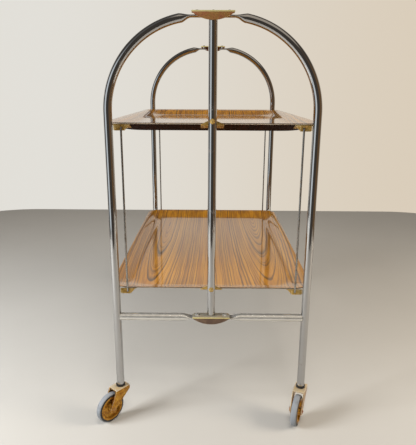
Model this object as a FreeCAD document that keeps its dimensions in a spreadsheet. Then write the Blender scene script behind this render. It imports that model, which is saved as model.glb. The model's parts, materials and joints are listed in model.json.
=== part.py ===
import FreeCAD, Part
import math
import os
import re
import Sketcher
from FreeCAD import Placement, Rotation, Vector

# A folding two-tier tea trolley. Each end is a centre post with a half-moon hinge bracket at its top and
# bottom, and two half arches with half crossbars on those brackets. Two dished trays tilt together on
# pivot bolts through the posts, tied by four wire rods, and the legs stand on swivel casters.
# X runs across the trolley, Y along it and Z up, from the floor under its middle.

SIZES = {
    # End frames of bent tube
    "leg_spacing": 384,
    "tube_diameter": 16,
    "crown_height": 806.5,
    "arch_radius": 165,
    "crossbar_height": 231,
    "weld_gap": 0.05,
    # Flattened tube ends and their hinge brackets
    "hinge_spacing": 56,
    "tongue_width": 19,
    "tongue_thickness": 5,
    "tongue_reach": 11,
    "taper_length": 20,
    "hinge_sheet": 2.5,
    "bracket_length": 75,
    "bracket_reach": 9,
    "bracket_corner": 8,
    "flange_gap": 0.5,
    "flange_depth": 13,
    # Rivets and bolts
    "hinge_rivet": 6,
    "hinge_head": 10,
    "rivet_dome": 2.5,
    "post_rivet_depth": 12,
    "tray_rivet": 4,
    "tray_head": 7,
    "tray_dome": 1.2,
    "rivet_bite": 1.6,
    "pivot_bolt": 5,
    "bolt_head": 10,
    "bolt_dome": 3,
    "bolt_end": 7.6,
    "spacer_diameter": 11,
    "running_gap": 0.05,
    "side_gap": 0.1,
    # Dished trays
    "tray_length": 663,
    "tray_width": 416,
    "tray_depth": 18,
    "tray_wall": 2.6,
    "tray_corner": 40,
    "floor_corner": 40,
    "side_run": 32,
    "end_run": 46,
    "floor_bend": 40,
    "rim_height": 620.5,
    "tray_drop": 330,
    "pivot_rise": 4,
    "end_gap": 14.5,
    # Sheet brackets under the trays
    "bracket_sheet": 1.6,
    "plate_gap": 0.3,
    "flange_length": 20,
    "flange_rivet": 11,
    "plate_half": 22,
    "plate_shoulder": 2.5,
    "plate_boss": 8,
    "plate_rivet": 13,
    "corner_edge": 22,
    "corner_length": 31,
    "corner_slant": 10,
    "corner_round": 3,
    "corner_inset": 0.2,
    "corner_drop": 15,
    "corner_flange": 14,
    "crease_depth": 0.5,
    # Wire rods that tie the trays
    "hook_inset": 37,
    "hook_drop": 9.5,
    "rod_diameter": 4,
    "rod_bend": 3,
    "hook_head": 6.4,
    "hook_upset": 1.5,
    # Swivel casters
    "wheel_diameter": 64,
    "tyre_width": 13,
    "tyre_round": 4,
    "hub_diameter": 44,
    "hub_rim": 5,
    "hub_rim_width": 11,
    "hub_web": 4,
    "boss_diameter": 15,
    "boss_width": 19,
    "axle_diameter": 6,
    "axle_head": 9,
    "axle_dome": 2,
    "wheel_trail": 30,
    "wheel_clearance": 4,
    "fork_gap": 20,
    "fork_sheet": 2.5,
    "fork_front": 14,
    "fork_back": 20,
    "fork_brow": 9,
    "cheek_end": 8,
    "swivel_gap": 0.3,
    "collar_height": 4,
    "collar_diameter": 19,
    "bush_diameter": 13,
    "bush_length": 26,
    "stem_diameter": 8,
    "stem_head": 13,
    "stem_head_height": 3,
    "left_swing": -41,
    "right_swing": -22,
}

# Places that several pieces share, as formulas on the sizes
TUBE_RADIUS = "(tube_diameter / 2)"
LEG_X = "(leg_spacing / 2)"
HINGE_X = "(hinge_spacing / 2)"
ARCH_X = "(leg_spacing / 2 - arch_radius)"
SPRING_LINE = "(crown_height - arch_radius)"
TONGUE_END = "(hinge_spacing / 2 + tongue_reach)"
TAPER_START = "(hinge_spacing / 2 + tongue_reach + taper_length)"
ARCH_ANGLE = f"acos(({TAPER_START} - {ARCH_X}) / arch_radius)"
HINGE_HOLE = "(hinge_rivet / 2 + running_gap)"
FLANGE_Y = "(tongue_width / 2 + flange_gap)"
POST_FOOT = "(crossbar_height + tongue_thickness / 2 + hinge_sheet)"
POST_TOP = "(crown_height + tongue_thickness / 2)"
FORK_TOP = "(wheel_diameter + wheel_clearance + fork_sheet)"
LEG_FOOT = f"({FORK_TOP} + swivel_gap + collar_height)"
FRAME_Y = "(tray_length / 2 + end_gap)"
PIVOT_PLATE_Y = "(end_gap - plate_gap - bracket_sheet)"
CORNER_PLATE_Y = "(end_gap + corner_inset)"
ROD_Y = f"({CORNER_PLATE_Y} - side_gap - rod_bend)"
HOOK_X = "(tray_width / 2 - hook_inset)"
CORNER_OUTER = "(tray_width / 2 - corner_edge)"
CORNER_INNER = f"({CORNER_OUTER} - corner_length)"
CORNER_HEEL = f"({CORNER_INNER} + corner_slant)"
CORNER_RIVET = f"({CORNER_INNER} + corner_flange / 2)"
FLOOR_DROP = "(tray_depth - tray_wall)"
END_RISE = f"({FLOOR_DROP} / end_run)"
END_SLOPE = f"atan({END_RISE})"
UNDER_RIM = "(tray_wall + plate_gap)"
FLANGE_SHEET = f"(bracket_sheet / cos({END_SLOPE}))"
RIVET_Y = "(end_gap + flange_rivet)"
RIVET_Z = f"(-tray_wall - flange_rivet * {END_RISE})"
AXLE_HEIGHT = "(wheel_diameter / 2)"

TURN = {
    "Z": Rotation(),
    "X": Rotation(Vector(0, 1, 0), 90),
    "Y": Rotation(Vector(1, 0, 0), -90),
    "-Y": Rotation(Vector(1, 0, 0), 90),
    "-Z": Rotation(Vector(1, 0, 0), 180),
}
ENDS = {"front": -1, "rear": 1}
LEVELS = {"upper": "rim_height", "lower": "(rim_height - tray_drop)"}

doc = FreeCAD.newDocument("TeaTrolley")
sheet = doc.addObject("Spreadsheet::Sheet", "Sizes")
for row, (alias, value) in enumerate(SIZES.items(), start=1):
    sheet.set(f"A{row}", alias)
    sheet.set(f"B{row}", str(value))
    sheet.setAlias(f"B{row}", alias)
doc.recompute()
sub_parts = []


def bind(formula):
    """Turn a formula on plain size names into an expression on the sheet's cells."""
    return re.sub(r"[a-z]+(?:_[a-z]+)+", r"Sizes.\g<0>", formula)


def number(formula):
    """The present value of a formula."""
    value = sheet.evalExpression(bind(formula))
    return float(getattr(value, "Value", value))


def keep(label, shape_object):
    """Name a finished sub-part."""
    shape_object.Label = label
    sub_parts.append(shape_object)
    return shape_object


def place(shape_object, x="0", y="0", z="0", rotation=TURN["Z"]):
    """Stand an object at a place given by formulas."""
    shape_object.Placement = Placement(Vector(number(x), number(y), number(z)), rotation)
    for axis, formula in zip("xyz", (x, y, z)):
        shape_object.setExpression(f"Placement.Base.{axis}", bind(formula))
    return shape_object


def about_z(degrees):
    """A turn about the vertical."""
    return Rotation(Vector(0, 0, 1), degrees)


def sized(kind, name, sizes):
    """Add a Part object with its sizes bound to formulas."""
    shape_object = doc.addObject(kind, name)
    for size, formula in sizes.items():
        shape_object.setExpression(size, bind(formula))
    return shape_object


def rod_along(axis, radius, length, x="0", y="0", z="0"):
    """A round bar from a point along an axis."""
    bar = sized("Part::Cylinder", "Bar", {"Radius": radius, "Height": length})
    return place(bar, x, y, z, TURN[axis])


def dome(axis, radius, rise, x="0", y="0", z="0"):
    """A round rivet head, flat side at the point, that rises along an axis."""
    ball = f"(({radius}) ^ 2 + ({rise}) ^ 2) / (2 * ({rise}))"
    sphere = sized("Part::Sphere", "Dome", {
        "Radius": ball,
        "Angle1": f"asin(({ball} - ({rise})) / ({ball}))",
    })
    offset = f"{ball} - ({rise})"
    along = {"Z": (x, y, f"{z} - ({offset})"), "-Z": (x, y, f"{z} + ({offset})"),
             "Y": (x, f"{y} - ({offset})", z), "-Y": (x, f"{y} + ({offset})", z),
             "X": (f"{x} - ({offset})", y, z)}
    return place(sphere, *along[axis], TURN[axis])


def fused(pieces, name="Joined"):
    """Join pieces of one sub-part."""
    union = doc.addObject("Part::MultiFuse", name)
    union.Shapes = pieces
    union.Refine = True
    return union


def cut(base, tools, name="Cut"):
    """Take tools away from a base."""
    difference = doc.addObject("Part::Cut", name)
    difference.Base = base
    difference.Tool = tools[0] if len(tools) == 1 else fused(tools, "Cutters")
    difference.Refine = True
    return difference


def group(label, solids):
    """Alike small fasteners as one sub-part of separate solids."""
    compound = doc.addObject("Part::Compound", label)
    compound.Links = solids
    return keep(label, compound)


def hold(sketch, geometry, point, x=None, y=None):
    """Fix a sketch point at formulas from the sketch's origin."""
    for kind, axis, formula in (("DistanceX", -2, x), ("DistanceY", -1, y)):
        if formula == "0":
            sketch.addConstraint(Sketcher.Constraint("PointOnObject", geometry, point, axis))
        elif formula is not None:
            constraint = Sketcher.Constraint(kind, -1, 1, geometry, point, number(formula))
            index = sketch.addConstraint(constraint)
            sketch.setExpression(f"Constraints[{index}]", bind(formula))


def outline(sketch, corners):
    """Draw a closed outline. A corner is (x, y), or (x, y, centre x, centre y, turn) where the edge that
    leaves it is an arc about that centre, to the left with turn 1 and to the right with turn -1."""
    points = [Vector(number(corner[0]), number(corner[1]), 0) for corner in corners]
    edges = []
    for corner, start, finish in zip(corners, points, points[1:] + points[:1]):
        if len(corner) == 2:
            edges.append((sketch.addGeometry(Part.LineSegment(start, finish)), 1, 2))
            continue
        centre = Vector(number(corner[2]), number(corner[3]), 0)
        first, last = (start, finish) if corner[4] > 0 else (finish, start)
        begin = math.atan2(first.y - centre.y, first.x - centre.x)
        end = math.atan2(last.y - centre.y, last.x - centre.x)
        circle = Part.Circle(centre, Vector(0, 0, 1), (start - centre).Length)
        arc = Part.ArcOfCircle(circle, begin, end if end > begin else end + 2 * math.pi)
        index = sketch.addGeometry(arc)
        edges.append((index, 1, 2) if corner[4] > 0 else (index, 2, 1))
    for (index, _, leave), (following, arrive, _) in zip(edges, edges[1:] + edges[:1]):
        sketch.addConstraint(Sketcher.Constraint("Coincident", index, leave, following, arrive))
    for corner, (index, arrive, _), start, finish in zip(corners, edges, points, points[1:] + points[:1]):
        hold(sketch, index, arrive, corner[0], corner[1])
        if len(corner) > 2:
            level = abs(finish.x - start.x) > abs(finish.y - start.y)
            hold(sketch, index, 3, None if level else corner[2], corner[3] if level else None)


def hole(sketch, x, y, radius):
    """Draw a circle at formulas."""
    centre = Vector(number(x), number(y), 0)
    index = sketch.addGeometry(Part.Circle(centre, Vector(0, 0, 1), number(radius)))
    hold(sketch, index, 3, x, y)
    constraint = sketch.addConstraint(Sketcher.Constraint("Radius", index, number(radius)))
    sketch.setExpression(f"Constraints[{constraint}]", bind(radius))


def new_body(name):
    return doc.addObject("PartDesign::Body", name)


def new_sketch(body, role, offset="0"):
    """A sketch on one of the body's own planes, moved along that plane's normal."""
    sketch = body.newObject("Sketcher::SketchObject", body.Name + "_sketch")
    plane = next(item for item in body.Origin.OriginFeatures if item.Role == role)
    sketch.AttachmentSupport = [(plane, "")]
    sketch.MapMode = "FlatFace"
    sketch.setExpression("AttachmentOffset.Base.z", bind(offset))
    return sketch


def pad(body, sketch, length):
    feature = body.newObject("PartDesign::Pad", body.Name + "_pad")
    feature.Profile = sketch
    feature.setExpression("Length", bind(length))
    doc.recompute()
    return feature


def pocket(body, sketch, length):
    """Cut a sketch into the body, against the sketch's normal, and see that it took something away."""
    before = body.Shape.Volume
    feature = body.newObject("PartDesign::Pocket", body.Name + "_pocket")
    feature.Profile = sketch
    feature.setExpression("Length", bind(length))
    doc.recompute()
    if body.Shape.Volume >= before:
        raise RuntimeError(f"{body.Name}: a pocket cuts nothing")
    return feature


def revolved(name, corners):
    """A body turned about the X axis from an outline of (along, radius) corners."""
    body = new_body(name)
    sketch = new_sketch(body, "XY_Plane")
    outline(sketch, corners)
    feature = body.newObject("PartDesign::Revolution", name + "_turned")
    feature.Profile = sketch
    feature.ReferenceAxis = (sketch, ["H_Axis"])
    feature.Angle = 360
    return body


# Flattened tube ends

def tongue(height):
    """The flat, round-nosed end of a tube, on the hinge rivet, and the section where it starts."""
    flat = sized("Part::Box", "Tongue", {
        "Length": "tongue_reach", "Width": "tongue_width", "Height": "tongue_thickness"})
    low = f"{height} - tongue_thickness / 2"
    place(flat, HINGE_X, "-tongue_width / 2", low)
    nose = rod_along("Z", "tongue_width / 2", "tongue_thickness", HINGE_X, "0", low)
    oval = sized("Part::Ellipse", "TongueSection", {
        "MajorRadius": "tongue_width / 2", "MinorRadius": "tongue_thickness / 2"})
    place(oval, TONGUE_END, "0", height, Rotation(Vector(1, 1, 1), 120))
    return [flat, nose], oval


def taper(oval, x, z, lean):
    """The stretch of tube that is pressed from round to flat."""
    ring = sized("Part::Circle", "TubeSection", {"Radius": TUBE_RADIUS})
    place(ring, x, "0", z, Rotation(Vector(0, 1, 0), lean).multiply(Rotation(Vector(1, 1, 1), 120)))
    stretch = doc.addObject("Part::Loft", "Taper")
    stretch.Sections = [oval, ring]
    stretch.Solid = True
    stretch.Ruled = False
    return stretch


def rivet_hole(height):
    """The hole through a tongue."""
    low = f"{height} - tongue_thickness"
    return rod_along("Z", HINGE_HOLE, "2 * tongue_thickness", HINGE_X, "0", low)


# End frames

def leg(label, y, turn):
    """A half arch: tongue, pressed taper, quarter bend and straight leg with a socket for its bush."""
    flat, oval = tongue("crown_height")
    bend = sized("Part::Torus", "Bend", {
        "Radius1": "arch_radius", "Radius2": TUBE_RADIUS, "Angle3": ARCH_ANGLE})
    place(bend, ARCH_X, "0", SPRING_LINE, TURN["-Y"])
    angle = number(ARCH_ANGLE)
    pressed = taper(oval, TAPER_START, f"{SPRING_LINE} + arch_radius * sin({ARCH_ANGLE})", 90 - angle)
    shank = rod_along("Z", TUBE_RADIUS, f"{SPRING_LINE} - {LEG_FOOT}", LEG_X, "0", LEG_FOOT)
    socket = rod_along("Z", "bush_diameter / 2 + running_gap", "bush_length", LEG_X, "0", LEG_FOOT)
    tube = cut(fused(flat + [pressed, bend, shank]), [rivet_hole("crown_height"), socket], label)
    place(tube, "0", y, "0", about_z(turn))
    keep(label, tube)


def crossbar(label, y, turn):
    """A half crossbar: tongue, pressed taper and a straight tube coped to the leg it is welded to."""
    flat, oval = tongue("crossbar_height")
    pressed = taper(oval, TAPER_START, "crossbar_height", 0)
    bar = rod_along("X", TUBE_RADIUS, f"{LEG_X} - {TAPER_START}", TAPER_START, "0", "crossbar_height")
    cope = rod_along("Z", f"{TUBE_RADIUS} + weld_gap", "2 * tube_diameter", LEG_X, "0",
                     "crossbar_height - tube_diameter")
    tube = cut(fused(flat + [pressed, bar]), [rivet_hole("crossbar_height"), cope], label)
    place(tube, "0", y, "0", about_z(turn))
    keep(label, tube)


def post(label, y):
    """The centre post, drilled across for the pivot bolts and down its ends for the bracket rivets."""
    tube = rod_along("Z", TUBE_RADIUS, f"{POST_TOP} - {POST_FOOT}", "0", "0", POST_FOOT)
    bolts = [rod_along("Y", "pivot_bolt / 2 + running_gap", "2 * tube_diameter", "0", "-tube_diameter",
                       f"{rim} + pivot_rise") for rim in LEVELS.values()]
    foot = rod_along("Z", HINGE_HOLE, "post_rivet_depth", "0", "0", POST_FOOT)
    top = rod_along("-Z", HINGE_HOLE, "post_rivet_depth", "0", "0", POST_TOP)
    drilled = cut(tube, bolts + [foot, top], label)
    place(drilled, "0", y, "0")
    keep(label, drilled)


def hinge_bracket(label, y, z, turn):
    """A pressed bracket: a web over the tongues and a half-moon flange down its outer side."""
    body = new_body(label)
    half = "bracket_length / 2"
    outer = f"({FLANGE_Y} + hinge_sheet)"
    rounding = f"({half} - bracket_corner)"
    web = new_sketch(body, "XY_Plane")
    outline(web, [
        (f"-{half}", f"-{outer}"),
        (half, f"-{outer}"),
        (half, "bracket_reach - bracket_corner", rounding, "bracket_reach - bracket_corner", 1),
        (rounding, "bracket_reach"),
        (f"-{rounding}", "bracket_reach", f"-{rounding}", "bracket_reach - bracket_corner", 1),
        (f"-{half}", "bracket_reach - bracket_corner"),
    ])
    pad(body, web, "hinge_sheet")
    moon_radius = "((bracket_length / 2) ^ 2 + flange_depth ^ 2) / (2 * flange_depth)"
    flange = new_sketch(body, "XZ_Plane", FLANGE_Y)
    outline(flange, [
        (half, "hinge_sheet"),
        (f"-{half}", "hinge_sheet"),
        (f"-{half}", "0", "0", f"{moon_radius} - flange_depth", 1),
        (half, "0"),
    ])
    pad(body, flange, "hinge_sheet")
    holes = new_sketch(body, "XY_Plane", "2 * hinge_sheet")
    for x in (f"-{HINGE_X}", "0", HINGE_X):
        hole(holes, x, "0", HINGE_HOLE)
    pocket(body, holes, "3 * hinge_sheet")
    place(body, "0", y, z, about_z(turn))
    keep(label, body)


def frame_rivets():
    """The rivets that the tongues turn on, and those that hold the brackets to the posts."""
    solids = []
    for end in ENDS.values():
        y = f"{end} * {FRAME_Y}"
        for height in ("crown_height", "crossbar_height"):
            low = f"{height} - tongue_thickness / 2"
            high = f"{height} + tongue_thickness / 2 + hinge_sheet"
            for side in (-1, 1):
                x = f"{side} * {HINGE_X}"
                shank = rod_along("Z", "hinge_rivet / 2", "tongue_thickness + hinge_sheet", x, y, low)
                top = dome("Z", "hinge_head / 2", "rivet_dome", x, y, high)
                bottom = dome("-Z", "hinge_head / 2", "rivet_dome", x, y, low)
                solids.append(fused([shank, top, bottom]))
        reach = "post_rivet_depth + hinge_sheet"
        top = f"{POST_TOP} + hinge_sheet"
        foot = f"{POST_FOOT} - hinge_sheet"
        for axis, away, z in (("-Z", "Z", top), ("Z", "-Z", foot)):
            shank = rod_along(axis, "hinge_rivet / 2", reach, "0", y, z)
            solids.append(fused([shank, dome(away, "hinge_head / 2", "rivet_dome", "0", y, z)]))
    group("frame_rivets", solids)


# Trays and the sheet brackets under them

def rounded(sketch, half_width, half_length, radius):
    """Draw an upright rectangle with round corners about the sketch's origin."""
    side = f"({half_width} - {radius})"
    end = f"({half_length} - {radius})"
    outline(sketch, [
        (half_width, f"-{end}"),
        (half_width, end, side, end, 1),
        (side, half_length),
        (f"-{side}", half_length, f"-{side}", end, 1),
        (f"-{half_width}", end),
        (f"-{half_width}", f"-{end}", f"-{side}", f"-{end}", 1),
        (f"-{side}", f"-{half_length}"),
        (side, f"-{half_length}", side, f"-{end}", 1),
    ])


def dish(name, drop):
    """A tray's hollow as a solid: the rim's outline down to the floor's, with a rounded bend."""
    body = new_body(name)
    rim = new_sketch(body, "XY_Plane", f"-({drop})")
    rounded(rim, "(tray_width / 2)", "(tray_length / 2)", "tray_corner")
    floor = new_sketch(body, "XY_Plane", f"-({drop}) - {FLOOR_DROP}")
    rounded(floor, "(tray_width / 2 - side_run)", "(tray_length / 2 - end_run)", "floor_corner")
    walls = body.newObject("PartDesign::AdditiveLoft", name + "_walls")
    walls.Profile = rim
    walls.Sections = [floor]
    walls.Ruled = True
    doc.recompute()
    low = walls.Shape.BoundBox.Center.z
    edges = [f"Edge{index}" for index, edge in enumerate(walls.Shape.Edges, start=1)
             if all(vertex.Z < low for vertex in edge.Vertexes)]
    bend = body.newObject("PartDesign::Fillet", name + "_bend")
    bend.Base = (walls, edges)
    bend.setExpression("Radius", bind("floor_bend"))
    return body


def tray(label, rim):
    """A tray pressed from one sheet: its underside is its hollow set lower by the sheet, and its rim is cut
    upright."""
    band = new_body(label + "_band")
    edge = new_sketch(band, "XY_Plane", "-tray_wall")
    rounded(edge, "(tray_width / 2)", "(tray_length / 2)", "tray_corner")
    pad(band, edge, "tray_wall")
    pressed = cut(fused([band, dish(label + "_underside", "tray_wall")]), [dish(label + "_hollow", "0")])
    holes = [wall_hole(end, x, y, RIVET_Z) for end, x, y in tray_rivet_places()]
    drilled = cut(pressed, holes, label)
    place(drilled, "0", "0", rim)
    keep(label, drilled)


def tray_rivet_places():
    """Where the bracket flanges are riveted to the underside of a tray's end walls."""
    places = []
    for end in ENDS.values():
        y = f"{end} * ({FRAME_Y} - {RIVET_Y})"
        for x in ("-plate_rivet", "plate_rivet", f"-{CORNER_RIVET}", CORNER_RIVET):
            places.append((end, x, y))
    return places


def wall_turn(end):
    """The turn from upright to square out of the underside of a tray's end wall."""
    lean = math.radians(number(END_SLOPE))
    return Rotation(Vector(0, 0, 1), Vector(0, end * math.sin(lean), -math.cos(lean)))


def wall_hole(end, x, y, z):
    """A rivet hole square to an end wall, blind in the tray's sheet and through a bracket's flange."""
    depth = "(rivet_bite + running_gap)"
    bore = sized("Part::Cylinder", "Bore", {
        "Radius": "tray_rivet / 2 + running_gap", "Height": f"{depth} + 3 * bracket_sheet"})
    back = f"{y} - {end} * {depth} * sin({END_SLOPE})"
    return place(bore, x, back, f"{z} + {depth} * cos({END_SLOPE})", wall_turn(end))


def tray_rivets(label, rim):
    """The blind rivets of one tray, up through the bracket flanges into its end walls."""
    clamp = f"(plate_gap * cos({END_SLOPE}) + bracket_sheet)"
    solids = []
    for end, x, y in tray_rivet_places():
        shank = rod_along("Z", "tray_rivet / 2", f"rivet_bite + {clamp}", "0", "0", "-rivet_bite")
        head = dome("Z", "tray_head / 2", "tray_dome", "0", "0", clamp)
        solids.append(place(fused([shank, head]), x, y, f"{rim} + {RIVET_Z}", wall_turn(end)))
    group(label, solids)


def under_wall(y):
    """How far below the rim a flange's upper side lies, at a distance from the frame's plane."""
    return f"({UNDER_RIM} + ({y} - end_gap) * {END_RISE})"


def flange(body, front, middle, width):
    """The strip that is bent back from a bracket's plate along the underside of the tray's end wall."""
    back = "(end_gap + flange_length)"
    sketch = new_sketch(body, "YZ_Plane", f"{middle} - ({width}) / 2")
    outline(sketch, [
        (front, f"-{under_wall(front)} - {FLANGE_SHEET}"),
        (back, f"-{under_wall(back)} - {FLANGE_SHEET}"),
        (back, f"-{under_wall(back)}"),
        (front, f"-{under_wall(front)}"),
    ])
    pad(body, sketch, width)


def riveted(body, label, places, y, rim, turn):
    """A bracket drilled for its rivets and put in its place."""
    drilled = cut(body, [wall_hole(-1, x, RIVET_Y, RIVET_Z) for x in places], label)
    place(drilled, "0", y, rim, about_z(turn))
    keep(label, drilled)


def pivot_bracket(label, y, rim, turn):
    """The plate before a tray's rim that carries one end of the tray on its pivot bolt."""
    body = new_body(label + "_sheet")
    back = f"({PIVOT_PLATE_Y} + bracket_sheet)"
    low = f"(-{under_wall(back)} - {FLANGE_SHEET})"
    plate = new_sketch(body, "XZ_Plane", f"-{back}")
    outline(plate, [
        ("-plate_half", low),
        ("plate_half", low),
        ("plate_half", "-plate_shoulder"),
        ("plate_boss", "pivot_rise", "0", "pivot_rise", 1),
        ("-plate_boss", "pivot_rise"),
        ("-plate_half", "-plate_shoulder"),
    ])
    hole(plate, "0", "pivot_rise", "pivot_bolt / 2 + running_gap")
    pad(body, plate, "bracket_sheet")
    flange(body, PIVOT_PLATE_Y, "0", "2 * plate_half")
    riveted(body, label, ("-plate_rivet", "plate_rivet"), y, rim, turn)


def corner_bracket(label, y, rim, turn, side):
    """The creased plate under a tray corner that a rod hooks into."""
    body = new_body(label + "_sheet")

    def across(distance):
        return f"{side} * ({distance})"

    back = f"({CORNER_PLATE_Y} + bracket_sheet)"
    plate = new_sketch(body, "XZ_Plane", f"-{back}")
    top = f"-{under_wall(back)}"
    low = "-corner_drop"
    outline(plate, [
        (across(CORNER_INNER), top),
        (across(CORNER_HEEL), low),
        (across(f"{CORNER_OUTER} - corner_round"), low, across(f"{CORNER_OUTER} - corner_round"),
         f"{low} + corner_round", side),
        (across(CORNER_OUTER), f"{low} + corner_round"),
        (across(CORNER_OUTER), top),
    ])
    hole(plate, across(HOOK_X), "-hook_drop", "rod_diameter / 2 + running_gap")
    pad(body, plate, "bracket_sheet")
    crease = new_sketch(body, "XZ_Plane", f"-{CORNER_PLATE_Y} + bracket_sheet")
    outline(crease, [
        (across(CORNER_INNER), top),
        (across(CORNER_HEEL), low),
        (across(CORNER_HEEL), top),
    ])
    pocket(body, crease, "bracket_sheet + crease_depth")
    flange(body, CORNER_PLATE_Y, across(CORNER_RIVET), "corner_flange")
    riveted(body, label, [across(CORNER_RIVET)], y, rim, turn)


def pivot_bolts():
    """The bolts through the posts, peened over the tray plates, and the spacers on them."""
    bolts = []
    spacers = []
    for end in ENDS.values():
        inward = "Y" if end < 0 else "-Y"
        outward = "-Y" if end < 0 else "Y"
        plane = f"{end} * {FRAME_Y}"

        def inside(distance):
            return f"{plane} - {end} * ({distance})"

        back = f"({PIVOT_PLATE_Y} + bracket_sheet + side_gap)"
        for rim in LEVELS.values():
            z = f"{rim} + pivot_rise"
            face = inside(f"-{TUBE_RADIUS}")
            shank = rod_along(inward, "pivot_bolt / 2", f"{TUBE_RADIUS} + {back}", "0", face, z)
            head = dome(outward, "bolt_head / 2", "bolt_dome", "0", face, z)
            peened = dome(inward, "bolt_end / 2", "bolt_dome / 2", "0", inside(back), z)
            bolts.append(fused([shank, head, peened]))
            start = inside(TUBE_RADIUS)
            length = f"{PIVOT_PLATE_Y} - side_gap - {TUBE_RADIUS}"
            sleeve = rod_along(inward, "spacer_diameter / 2", length, "0", start, z)
            bore = rod_along(inward, "pivot_bolt / 2 + running_gap", length, "0", start, z)
            spacers.append(cut(sleeve, [bore]))
    group("pivot_bolts", bolts)
    group("pivot_spacers", spacers)


def tie_rod(label, y, turn, side):
    """A wire rod from an upper tray corner to the lower one, hooked inward at both ends."""
    radius = "rod_diameter / 2"
    x = f"{side} * {HOOK_X}"
    top = "(rim_height - hook_drop)"
    bottom = "(rim_height - tray_drop - hook_drop)"
    run = rod_along("Z", radius, f"{top} - {bottom} - 2 * rod_bend", x, ROD_Y, f"{bottom} + rod_bend")
    pieces = [run]
    behind = f"({CORNER_PLATE_Y} + bracket_sheet + side_gap)"
    elbow_y = f"({ROD_Y} + rod_bend)"
    for z, up in ((top, 1), (bottom, -1)):
        elbow = sized("Part::Torus", "Elbow", {"Radius1": "rod_bend", "Radius2": radius})
        elbow.Angle3 = 90
        facing = Rotation(Vector(0, -1, 0), Vector(0, 0, up), Vector(-up, 0, 0), "XYZ")
        place(elbow, x, elbow_y, f"{z} - {up} * rod_bend", facing)
        pieces.append(elbow)
        pieces.append(rod_along("Y", radius, f"{behind} + hook_upset - {elbow_y}", x, elbow_y, z))
        pieces.append(rod_along("Y", "hook_head / 2", "hook_upset", x, behind, z))
    wire = fused(pieces, label)
    place(wire, "0", y, "0", about_z(turn))
    keep(label, wire)


# Casters

def fork(label, x, y, swing):
    """A pressed fork: a cap on the swivel stem and two cheeks that taper back to the axle."""
    body = new_body(label)
    width = "(fork_gap + 2 * fork_sheet)"
    side = new_sketch(body, "YZ_Plane", f"-{width} / 2")
    outline(side, [
        ("fork_front", FORK_TOP),
        ("-fork_back", FORK_TOP),
        ("-wheel_trail - cheek_end", AXLE_HEIGHT, "-wheel_trail", AXLE_HEIGHT, 1),
        ("-wheel_trail + cheek_end", AXLE_HEIGHT),
        ("fork_front", f"{FORK_TOP} - fork_brow"),
    ])
    pad(body, side, width)
    gap = new_sketch(body, "YZ_Plane", "fork_gap / 2")
    low = f"{AXLE_HEIGHT} - 2 * cheek_end"
    reach = "(wheel_trail + 2 * cheek_end)"
    outline(gap, [
        (f"-{reach}", low),
        (reach, low),
        (reach, f"{FORK_TOP} - fork_sheet"),
        (f"-{reach}", f"{FORK_TOP} - fork_sheet"),
    ])
    pocket(body, gap, "fork_gap")
    axle = new_sketch(body, "YZ_Plane", width)
    hole(axle, "-wheel_trail", AXLE_HEIGHT, "axle_diameter / 2 + running_gap")
    pocket(body, axle, f"2 * {width}")
    stem = new_sketch(body, "XY_Plane", f"{FORK_TOP} + fork_sheet")
    hole(stem, "0", "0", "stem_diameter / 2 + running_gap")
    pocket(body, stem, "3 * fork_sheet")
    place(body, x, y, "0", about_z(swing))
    keep(label, body)


def caster(name, x, y, swing):
    """One swivel caster on the leg at x, y, swung about its stem."""
    fork(name + "_fork", x, y, swing)
    under = f"{FORK_TOP} - fork_sheet"
    reach = "fork_sheet + swivel_gap + bush_length"
    shank = rod_along("Z", "stem_diameter / 2", reach, "0", "0", under)
    head = rod_along("-Z", "stem_head / 2", "stem_head_height", "0", "0", under)
    keep(name + "_stem", place(fused([shank, head]), x, y, "0", about_z(swing)))
    face = "(fork_gap / 2 + fork_sheet)"
    pin = rod_along("X", "axle_diameter / 2", f"2 * {face}", f"-{face}", "-wheel_trail", AXLE_HEIGHT)
    right = dome("X", "axle_head / 2", "axle_dome", face, "-wheel_trail", AXLE_HEIGHT)
    left = rod_along("X", "axle_head / 2", "axle_dome", f"-{face} - axle_dome", "-wheel_trail", AXLE_HEIGHT)
    keep(name + "_axle", place(fused([pin, right, left]), x, y, "0", about_z(swing)))
    radians = math.radians(swing)
    wheel_x = f"{x} + {math.sin(radians)} * wheel_trail"
    wheel_y = f"{y} - {math.cos(radians)} * wheel_trail"
    for label, body in ((name + "_hub", hub(name + "_hub")), (name + "_tyre", tyre(name + "_tyre"))):
        keep(label, place(body, wheel_x, wheel_y, AXLE_HEIGHT, about_z(swing)))


def hub(name):
    """A dished hub: boss, web and rim turned about the axle."""
    bore = "axle_diameter / 2 + running_gap"
    rim = "hub_diameter / 2"
    boss = "boss_diameter / 2"
    return revolved(name, [
        ("-boss_width / 2", bore),
        ("boss_width / 2", bore),
        ("boss_width / 2", boss),
        ("hub_web / 2", f"{boss} + hub_web / 2"),
        ("hub_web / 2", f"{rim} - hub_rim"),
        ("hub_rim_width / 2", f"{rim} - hub_rim"),
        ("hub_rim_width / 2", rim),
        ("-hub_rim_width / 2", rim),
        ("-hub_rim_width / 2", f"{rim} - hub_rim"),
        ("-hub_web / 2", f"{rim} - hub_rim"),
        ("-hub_web / 2", f"{boss} + hub_web / 2"),
        ("-boss_width / 2", boss),
    ])


def tyre(name):
    """A rubber tyre with rounded shoulders, turned about the axle."""
    inner = "hub_diameter / 2 + running_gap"
    outer = "wheel_diameter / 2"
    half = "tyre_width / 2"
    shoulder = f"({outer} - tyre_round)"
    crown = f"({half} - tyre_round)"
    return revolved(name, [
        (f"-{half}", inner),
        (half, inner),
        (half, shoulder, crown, shoulder, 1),
        (crown, outer),
        (f"-{crown}", outer, f"-{crown}", shoulder, 1),
        (f"-{half}", shoulder),
    ])


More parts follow.
